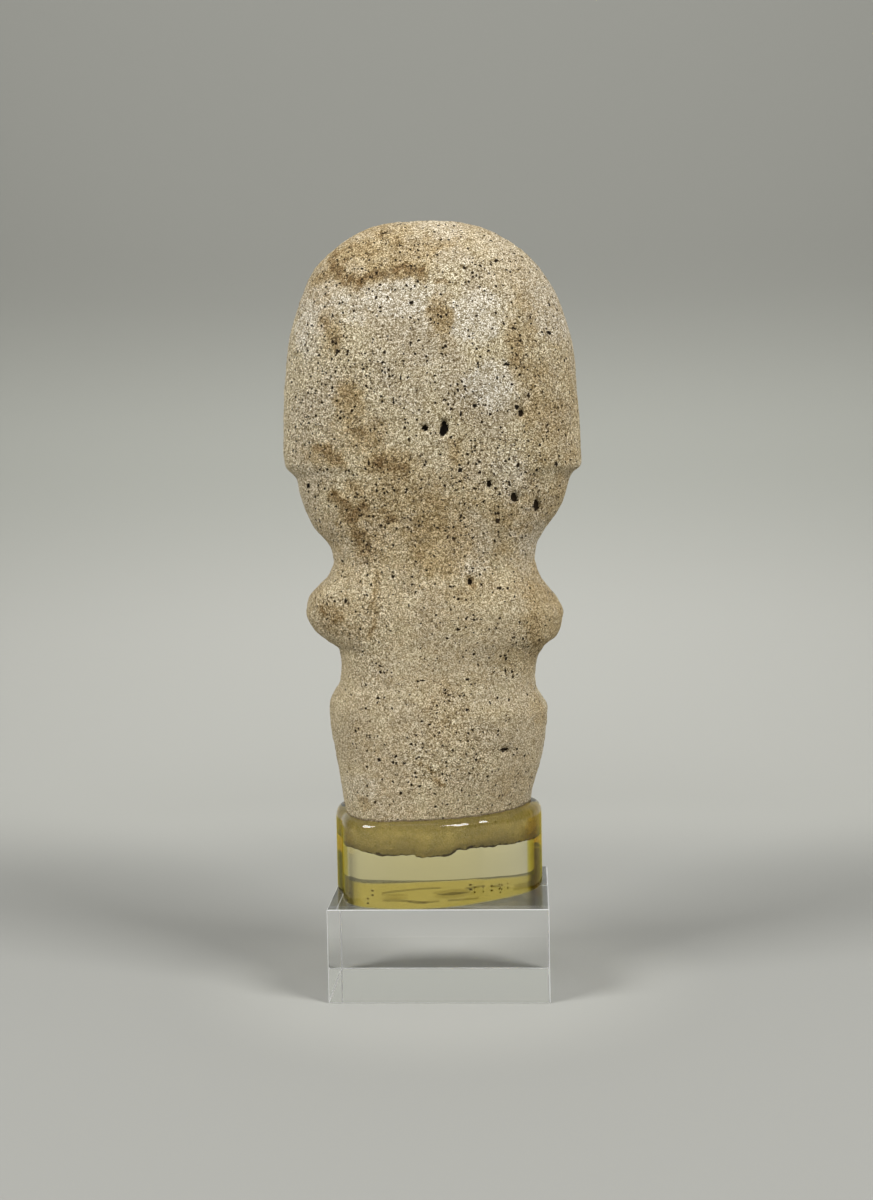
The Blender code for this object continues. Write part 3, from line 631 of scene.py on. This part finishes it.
class FIGURINE_OT_carve_stone(bpy.types.Operator):
    """Carves the stone figure: worn, pitted and stained"""

    bl_idname = "figurine.carve_stone"
    bl_label = "Carve the stone"

    def execute(self, context):
        settings = context.scene.figurine_stone
        stone = copy_node("figurine", "stone")
        apply_modifier(stone, "REMESH", mode="VOXEL", voxel_size=settings.voxel)
        apply_modifier(stone, "SMOOTH", factor=0.5, iterations=4)
        x, height, on_back = back_places(points_of(stone), np.zeros((1, 3)), 0.0)
        lines = streak_field((x, height, 1.0 - on_back), FACE_LINES)
        apply_modifier(
            stone, "DISPLACE", strength=-settings.face_cut, mid_level=0.0,
            vertex_group=weigh(stone, "face lines", lines))
        co = points_of(stone)
        # Without a seed of its own, this noise would be drawn from the clock, anew in each run.
        noise.seed_set(NOISE_SEED)
        wobble = np.array([noise.noise_vector(Vector(p) / NOISE_SIZE) for p in co])
        places = back_places(co, wobble, PIT_SHIFT)
        pits = [(*row, 1.0) for row in PITS]
        wide = [row for row in pits if row[2] * row[3] > CUT_PIT_SIZE]
        depth = weigh(stone, "pit depth", spot_field(places, wide, PIT_SOFTNESS))
        paint(stone, "pit", spot_field(places, pits, PIT_SOFTNESS))
        paint(stone, "stain", streak_field(back_places(co, wobble, STAIN_SHIFT), STAINS))
        areas = back_places(co, wobble, AREA_SHIFT)
        for name, rows in (("pale", PALE_AREAS), ("warm", WARM_AREAS), ("grime", GRIMY_AREAS)):
            paint(stone, name, spot_field(areas, rows, AREA_SOFTNESS))
        self.paint_hollows(stone, lines)
        apply_modifier(
            stone, "DISPLACE", strength=-settings.pit_depth, mid_level=0.0, vertex_group=depth)
        roughen(stone, "swell", "CLOUDS", settings.swell_size, settings.swell, noise_depth=1)
        roughen(stone, "dressing", "CLOUDS", settings.dress_size, settings.dress, noise_depth=2)
        roughen(stone, "grit", "CLOUDS", settings.grit_size, settings.grit, noise_depth=0)
        stone.vertex_groups.clear()
        fit_box(stone, STONE_LOW, STONE_HIGH)
        self.drop_foot(stone)
        stone.data.materials.append(make_stone_material(settings))
        stone.data.shade_smooth()
        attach(stone, "root")
        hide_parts("figurine")
        return {"FINISHED"}

    @staticmethod
    def paint_hollows(stone, lines):
        """Marks the front's fine lines and hollows, those that smoothing fills, for the painted shade in
        them.
        """
        filled = stone.copy()
        filled.data = stone.data.copy()
        bpy.context.scene.collection.objects.link(filled)
        apply_modifier(filled, "SMOOTH", factor=0.5, iterations=60)
        co = points_of(stone)
        normals = np.array([vertex.normal for vertex in stone.data.vertices])
        rise = ((points_of(filled) - co) * normals).sum(1)
        bpy.data.objects.remove(filled)
        hollow = np.clip(rise / (0.3 * MM), 0.0, 1.0) * np.clip(co[:, 1] / (4.0 * MM), 0.0, 1.0)
        paint(stone, "hollow", np.maximum(hollow, lines))
        select_only(stone)

    @staticmethod
    def drop_foot(stone):
        """Breaks the underside of the foot into ragged lobes, down in the resin."""
        co = points_of(stone)
        across, drop = zip(*FOOT_LOBES)
        depth = np.interp(co[:, 0] / MM, across, drop)
        rag = [noise.noise(Vector((x / RAG_SIZE, y / RAG_SIZE, 0.0))) for x, y, _ in co]
        near = np.clip(1.0 - (co[:, 2] - FOOT_Z) / BREAK_FADE, 0.0, 1.0) ** 1.5
        bottom = FOOT_Z - (depth + RAG_HEIGHT * np.array(rag)) * MM
        co[:, 2] -= (FOOT_Z - bottom) * near
        set_points(stone, co)
        paint(stone, "foot", np.clip(1.0 - (co[:, 2] - bottom) / RIM_REACH, 0.0, 1.0))


def socket_outline(steps):
    """The socket's outline seen from above, evenly divided."""
    low, high = np.array(SOCKET_LOW)[:2], np.array(SOCKET_HIGH)[:2]
    outline = low + np.array(SOCKET_PLAN) * (high - low)
    middle = (low + high) / 2.0
    angle = np.arctan2(*(outline - middle).T[::-1])
    turns = np.arange(steps) * 2.0 * math.pi / steps - math.pi
    even = np.interp(turns, angle, np.hypot(*(outline - middle).T), period=2.0 * math.pi)
    for _ in range(5):
        even = (np.roll(even, 1) + even + np.roll(even, -1)) / 3.0
    points = np.stack([np.cos(turns), np.sin(turns)]).T * even[:, None]
    points = (points - points.min(0)) / (points.max(0) - points.min(0))
    return low + points * (high - low)


def extrude_outline(name, outline, bottom, top):
    """A closed prism over an outline."""
    bpy.ops.object.select_all(action="DESELECT")
    bpy.ops.mesh.primitive_circle_add(vertices=len(outline), fill_type="NGON")
    prism = bpy.context.object
    prism.name = prism.data.name = name
    set_points(prism, np.column_stack([outline, np.full(len(outline), bottom)]))
    bpy.ops.object.mode_set(mode="EDIT")
    bpy.ops.mesh.select_all(action="SELECT")
    bpy.ops.mesh.extrude_region_move(TRANSFORM_OT_translate={"value": (0.0, 0.0, top - bottom)})
    bpy.ops.mesh.select_all(action="SELECT")
    bpy.ops.mesh.normals_make_consistent(inside=False)
    bpy.ops.object.mode_set(mode="OBJECT")
    return prism


class FIGURINE_OT_cast_resin(bpy.types.Operator):
    """Casts the resin socket around the figure's foot"""

    bl_idname = "figurine.cast_resin"
    bl_label = "Cast the resin"

    outline_steps: bpy.props.IntProperty(
        name="Outline steps", description="Points around the socket", default=240)

    def execute(self, context):
        settings = context.scene.figurine_resin
        bottom = BLOCK_HIGH.z - settings.overlap
        outline = socket_outline(self.outline_steps)
        resin = extrude_outline("cast_resin", outline, bottom, SOCKET_HIGH.z)
        self.select_top_edge(resin)
        bpy.ops.object.mode_set(mode="EDIT")
        bpy.ops.mesh.bevel(offset=settings.rounding, segments=12, clamp_overlap=False)
        bpy.ops.mesh.select_all(action="SELECT")
        bpy.ops.mesh.normals_make_consistent(inside=False)
        bpy.ops.object.mode_set(mode="OBJECT")
        pocket = self.make_pocket()
        apply_modifier(resin, "BOOLEAN", object=pocket, operation="DIFFERENCE", solver="EXACT")
        bpy.data.objects.remove(pocket)
        select_only(resin)
        bpy.ops.object.shade_smooth_by_angle(angle=math.radians(35.0))
        apply_modifier(resin, "WEIGHTED_NORMAL", keep_sharp=True)
        # Old polyester casting resin: clear and glossy, gone yellow right through.
        resin.data.materials.append(make_clear_material(
            "aged casting resin", 0.03, 1.54, tuple(settings.tint), settings.density))
        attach(resin, "root")
        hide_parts("resin_socket")
        self.tint_resin_end(settings, "left_skin", SOCKET_LOW.x, SOCKET_LOW.x + LEFT_SKIN_REACH)
        self.tint_resin_end(settings, "right_skin", SOCKET_HIGH.x - RIGHT_SKIN_REACH, SOCKET_HIGH.x)
        return {"FINISHED"}

    def tint_resin_end(self, settings, name, low, high):
        """The skin at one end of the resin, darker and yellower: painted shade."""
        outline = socket_outline(self.outline_steps)
        # The outline starts at its left end, so it is turned half round to keep that end whole.
        if low < 0.0:
            outline = np.roll(outline, self.outline_steps // 2, axis=0)
        strip = outline[(outline[:, 0] >= low) & (outline[:, 0] <= high)]
        middle = outline.mean(0)
        inward = (middle - strip) / np.linalg.norm(middle - strip, axis=1)[:, None]
        # The skin stands a hair proud, so that it tints what the resin reflects too, a painted reflection
        # colour, and thins out towards both of its ends.
        along = np.linspace(0.0, 1.0, len(strip))
        share = np.clip(8.0 * np.minimum(along, 1.0 - along), 0.05, 1.0)[:, None]
        outer = strip - inward * SKIN_PROUD * np.maximum(share, 0.3)
        inner = strip + inward * (settings.skin * share + SKIN_LEAST)
        ring = np.vstack([outer, inner[::-1]])
        bottom = BLOCK_HIGH.z + GLUE_GAP + settings.film + SKIN_GAP
        skin = extrude_outline(name, ring, bottom, SOCKET_HIGH.z - settings.rounding)
        # The same resin, darker and yellower at its ends: painted shade.
        skin.data.materials.append(make_clear_material(
            "resin end, painted shade", 0.0, 1.0, tuple(settings.skin_tint), settings.skin_density))
        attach(skin, "root")

    @staticmethod
    def select_top_edge(resin):
        """Selects the edge around the top face."""
        form = bmesh.new()
        form.from_mesh(resin.data)
        for element in (*form.faces, *form.edges, *form.verts):
            element.select = False
        for edge in form.edges:
            edge.select = all(abs(v.co.z - SOCKET_HIGH.z) < 0.01 * MM for v in edge.verts)
        form.select_flush(True)
        form.to_mesh(resin.data)
        form.free()

    @staticmethod
    def make_pocket():
        """The upper part of the foot, shrunk so that the stone's rough skin stays in the resin."""
        pocket = copy_node("figurine", "pocket")
        bpy.ops.object.mode_set(mode="EDIT")
        for height, upwards in ((POCKET_BOTTOM, -1.0), (POCKET_TOP, 1.0)):
            bpy.ops.mesh.select_all(action="SELECT")
            bpy.ops.mesh.bisect(
                plane_co=(0.0, 0.0, height), plane_no=(0.0, 0.0, upwards), use_fill=True,
                clear_outer=True)
        bpy.ops.object.mode_set(mode="OBJECT")
        apply_modifier(pocket, "DISPLACE", strength=-POCKET_INSET, mid_level=0.0)
        return pocket


class FIGURINE_OT_spread_glue(bpy.types.Operator):
    """Spreads the film of glue between the resin and the block"""

    bl_idname = "figurine.spread_glue"
    bl_label = "Spread the glue"

    def execute(self, context):
        settings = context.scene.figurine_resin
        outline = socket_outline(120)
        middle = outline.mean(0)
        outline = middle + (outline - middle) * GLUE_SHARE
        bottom = BLOCK_HIGH.z + GLUE_GAP
        film = extrude_outline("glue_film", outline, bottom, bottom + settings.film)
        # Glue that has gone amber. It lies in the resin's underside and bends no light of its own, so only
        # its colour shows.
        film.data.materials.append(
            make_clear_material("aged glue", 0.0, 1.0, tuple(settings.glue), settings.glue_density))
        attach(film, "root")
        marks = [self.draw_line(line, bottom + LINE_RISE) for line in GLUE_LINES]
        for x, y in GLUE_BUBBLES:
            bpy.ops.mesh.primitive_ico_sphere_add(
                subdivisions=2, radius=BUBBLE_RADIUS, location=(x * MM, y * MM, bottom + BUBBLE_RISE))
            marks.append(context.object)
        # Dust and brown edges where the glue missed: dull and dark.
        material, tree = new_material("dirt in the glue")
        shader = add_node(
            tree, "ShaderNodeBsdfPrincipled",
            inputs={"Base Color": (*settings.dirt, 1.0), "Roughness": 0.7})
        add_node(tree, "ShaderNodeOutputMaterial", [(shader.outputs["BSDF"], "Surface")])
        self.join_marks(marks, "glue_marks", material)
        patches = []
        for x, y, half_width, half_depth in GLUE_PATCHES:
            bpy.ops.mesh.primitive_uv_sphere_add(
                segments=32, ring_count=12, radius=MM,
                location=(x * MM, y * MM, bottom + settings.film + PATCH_RISE))
            context.object.scale = (half_width, half_depth, PATCH_HALF_HEIGHT)
            patches.append(context.object)
        # Patches thin out to nothing at their edges, so their colour fades there.
        self.join_marks(patches, "glue_patches", make_clear_material(
            "browned glue", 0.0, 1.0, tuple(settings.patch), settings.patch_density))
        return {"FINISHED"}

    @staticmethod
    def join_marks(marks, name, material):
        """Joins small marks into one piece that rides with the resin."""
        bpy.ops.object.select_all(action="DESELECT")
        for mark in marks:
            mark.select_set(True)
        bpy.context.view_layer.objects.active = marks[0]
        bpy.ops.object.join()
        bpy.ops.object.transform_apply()
        marks[0].name = marks[0].data.name = name
        marks[0].data.materials.append(material)
        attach(marks[0], "root")

    @staticmethod
    def draw_line(places, height):
        """A thin line in the glue, open at both ends."""
        bpy.ops.object.select_all(action="DESELECT")
        bpy.ops.mesh.primitive_circle_add(vertices=len(places) + 1)
        line = bpy.context.object
        bpy.ops.object.mode_set(mode="EDIT")
        bpy.ops.mesh.select_all(action="DESELECT")
        bpy.ops.object.mode_set(mode="OBJECT")
        line.data.vertices[len(places)].select = True
        bpy.ops.object.mode_set(mode="EDIT")
        bpy.ops.mesh.delete(type="VERT")
        bpy.ops.object.mode_set(mode="OBJECT")
        set_points(line, np.array([(x * MM, y * MM, height) for x, y in places]))
        apply_modifier(line, "SUBSURF", levels=3)
        bpy.ops.object.convert(target="CURVE")
        line = bpy.context.object
        line.data.bevel_depth = LINE_RADIUS
        line.data.bevel_resolution = 1
        line.data.use_fill_caps = True
        bpy.ops.object.convert(target="MESH")
        return bpy.context.object


class FIGURINE_OT_polish_block(bpy.types.Operator):
    """Polishes the acrylic block"""

    bl_idname = "figurine.polish_block"
    bl_label = "Polish the block"

    chamfer: length_property("Chamfer", "Width of the ground edges", 0.18 * MM)
    tint: color_property("Tint", "Colour that the acrylic keeps", "F4F6F4")

    def execute(self, context):
        bpy.ops.object.select_all(action="DESELECT")
        bpy.ops.mesh.primitive_cube_add(size=1.0, location=(BLOCK_LOW + BLOCK_HIGH) / 2.0)
        block = context.object
        block.name = block.data.name = "clear_block"
        block.scale = BLOCK_HIGH - BLOCK_LOW
        bpy.ops.object.transform_apply()
        # Cast acrylic, sawn and polished: nearly colourless, with a faint wave left by the wheel. Its edges
        # are only ground, so they are frosted, and they glow a little: painted light for the light the
        # block leads there.
        tint = tuple(self.tint)
        block.data.materials.append(make_clear_material("cast acrylic", 0.01, 1.49, tint, 2.0))
        block.data.materials.append(make_clear_material(
            "ground acrylic edge with painted glow", 0.4, 1.49, tint, 2.0, 0.5, 0.15))
        apply_modifier(block, "BEVEL", width=self.chamfer, segments=1, material=1)
        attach(block, "root")
        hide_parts("acrylic_block")
        return {"FINISHED"}


class FIGURINE_OT_set_stage(bpy.types.Operator):
    """Sets the pale floor, the soft light and the camera"""

    bl_idname = "figurine.set_stage"
    bl_label = "Set the stage"

    def execute(self, context):
        settings = context.scene.figurine_stage
        self.lay_floor(settings)
        self.light_dome(context.scene, settings)
        self.hang_softbox("overhead softbox", (0.0, 0.0, 0.98), (0.5, 0.5), settings.top)
        self.hang_softbox("left softbox", (-0.97, -0.62, 1.12), (0.58, 0.58), settings.left)
        self.hang_softbox("right softbox", (0.97, -0.62, 1.12), (0.58, 0.58), settings.right)
        self.place_camera(context.scene)
        context.scene.view_settings.view_transform = "Standard"
        return {"FINISHED"}

    @staticmethod
    def lay_floor(settings):
        """A floor of grey paper that bends up all round into a backdrop."""
        steps = 12
        bpy.ops.object.select_all(action="DESELECT")
        bpy.ops.mesh.primitive_circle_add(
            vertices=96, radius=settings.flat, fill_type="NGON", location=(0.0, 0.0, -0.05 * MM))
        floor = bpy.context.object
        floor.name = "floor"
        bpy.ops.object.mode_set(mode="EDIT")
        bpy.ops.mesh.select_all(action="SELECT")
        bpy.ops.mesh.region_to_loop()
        radius, height = settings.flat, 0.0
        for step in range(1, steps + 2):
            angle = math.radians(90.0) * min(step, steps) / steps
            new_radius = settings.flat + settings.bend * math.sin(angle)
            new_height = settings.bend * (1.0 - math.cos(angle)) if step <= steps else settings.rim
            bpy.ops.mesh.extrude_edges_move(
                TRANSFORM_OT_translate={"value": (0.0, 0.0, new_height - height)})
            bpy.ops.transform.resize(value=(new_radius / radius, new_radius / radius, 1.0))
            radius, height = new_radius, new_height
        bpy.ops.object.mode_set(mode="OBJECT")
        co = points_of(floor)
        share = np.clip((co[:, 1] + 0.15) / 0.3, 0.0, 1.0)
        co[:, 2] = np.minimum(co[:, 2], settings.front_rim + (settings.rim - settings.front_rim) * share)
        set_points(floor, co)
        floor.data.shade_smooth()
        material, tree = new_material("matt grey backdrop paper")
        where = add_node(tree, "ShaderNodeTexCoord").outputs["Object"]
        place = add_node(tree, "ShaderNodeSeparateXYZ", [(where, "Vector")])
        color = tuple(settings.near)
        flat = add_node(
            tree, "ShaderNodeVectorMath", [(where, 0)], operation="MULTIPLY",
            inputs={1: (1.0, 1.0, 0.0)}).outputs["Vector"]
        radius = add_node(
            tree, "ShaderNodeVectorMath", [(flat, 0)], operation="LENGTH").outputs["Value"]
        across = add_node(
            tree, "ShaderNodeMath", [(place.outputs["X"], 0)], operation="ABSOLUTE").outputs["Value"]
        # The paper's tones are painted light and shade: lighter right round the block and behind the
        # object, darker higher up the backdrop, and dark to the left and right, where it stands for shade.
        for source, low, high, tone in (
            (radius, 0.035, 0.08, settings.floor),
            (place.outputs["Y"], 0.10, 0.22, settings.far),
            (place.outputs["Z"], 0.05, 0.15, settings.wall),
            (place.outputs["Z"], 0.15, 0.27, settings.height),
            (across, 0.33, 0.42, settings.side),
        ):
            share = add_node(
                tree, "ShaderNodeMapRange", [(source, "Value")],
                interpolation_type="SMOOTHSTEP", inputs={"From Min": low, "From Max": high})
            mix = add_node(tree, "ShaderNodeMix", [(share.outputs["Result"], 0)], data_type="RGBA")
            mix.inputs[7].default_value = (*tone, 1.0)
            if isinstance(color, tuple):
                mix.inputs[6].default_value = (*color, 1.0)
            else:
                tree.links.new(color, mix.inputs[6])
            color = mix.outputs[2]
        shader = add_node(
            tree, "ShaderNodeBsdfPrincipled", [(color, "Base Color")],
            inputs={"Roughness": 0.9, "Specular IOR Level": 0.1})
        add_node(tree, "ShaderNodeOutputMaterial", [(shader.outputs["BSDF"], "Surface")])
        floor.data.materials.append(material)

    @staticmethod
    def light_dome(scene, settings):
        """Even light from above the backdrop."""
        world = bpy.data.worlds.new("studio")
        world.use_nodes = True
        tree = world.node_tree
        tree.nodes.clear()
        light = add_node(
            tree, "ShaderNodeBackground",
            inputs={"Color": (1.0, 1.0, 0.98, 1.0), "Strength": settings.dome})
        add_node(tree, "ShaderNodeOutputWorld", [(light.outputs["Background"], "Surface")])
        scene.world = world

    @staticmethod
    def hang_softbox(name, place, size, power):
        """A rectangular softbox aimed at the figure."""
        bpy.ops.object.light_add(type="AREA", location=place)
        box = bpy.context.object
        box.name = name
        box.data.shape = "RECTANGLE"
        box.data.size, box.data.size_y = size
        box.data.energy = power
        box.visible_camera = False
        aim = Vector((0.0, 0.0, 0.1)) - Vector(place)
        box.rotation_euler = aim.to_track_quat("-Z", "Y").to_euler()

    @staticmethod
    def place_camera(scene):
        """The camera, level with the figure's head and a little to its right."""
        bpy.ops.object.camera_add(
            location=CAMERA_PLACE, rotation=[math.radians(turn) for turn in CAMERA_TURN])
        scene.camera = bpy.context.object
        scene.camera.data.lens = CAMERA_LENS
        scene.camera.data.clip_start = 1.0 * MM


class FIGURINE_PT_panel(bpy.types.Panel):
    """The figurine's pieces and stage"""

    bl_label = "Figurine"
    bl_idname = "FIGURINE_PT_panel"
    bl_space_type = "VIEW_3D"
    bl_region_type = "UI"
    bl_category = "Figurine"

    def draw(self, context):
        for operator in OPERATORS:
            self.layout.operator(operator.bl_idname)


OPERATORS = (
    FIGURINE_OT_carve_stone,
    FIGURINE_OT_cast_resin,
    FIGURINE_OT_spread_glue,
    FIGURINE_OT_polish_block,
    FIGURINE_OT_set_stage,
)
SETTINGS = {
    "figurine_stone": StoneSettings,
    "figurine_resin": ResinSettings,
    "figurine_stage": StageSettings,
}
CLASSES = (*SETTINGS.values(), *OPERATORS, FIGURINE_PT_panel)


def register():
    """Registers the add-on's classes and settings."""
    for cls in CLASSES:
        bpy.utils.register_class(cls)
    for name, cls in SETTINGS.items():
        setattr(bpy.types.Scene, name, bpy.props.PointerProperty(type=cls))


def unregister():
    """Removes the add-on's classes and settings."""
    for name in SETTINGS:
        delattr(bpy.types.Scene, name)
    for cls in reversed(CLASSES):
        bpy.utils.unregister_class(cls)


def main():
    """Makes every piece and the stage."""
    register()
    bpy.ops.figurine.carve_stone()
    bpy.ops.figurine.cast_resin()
    bpy.ops.figurine.spread_glue()
    bpy.ops.figurine.polish_block()
    bpy.ops.figurine.set_stage()


if __name__ == "__main__":
    main()
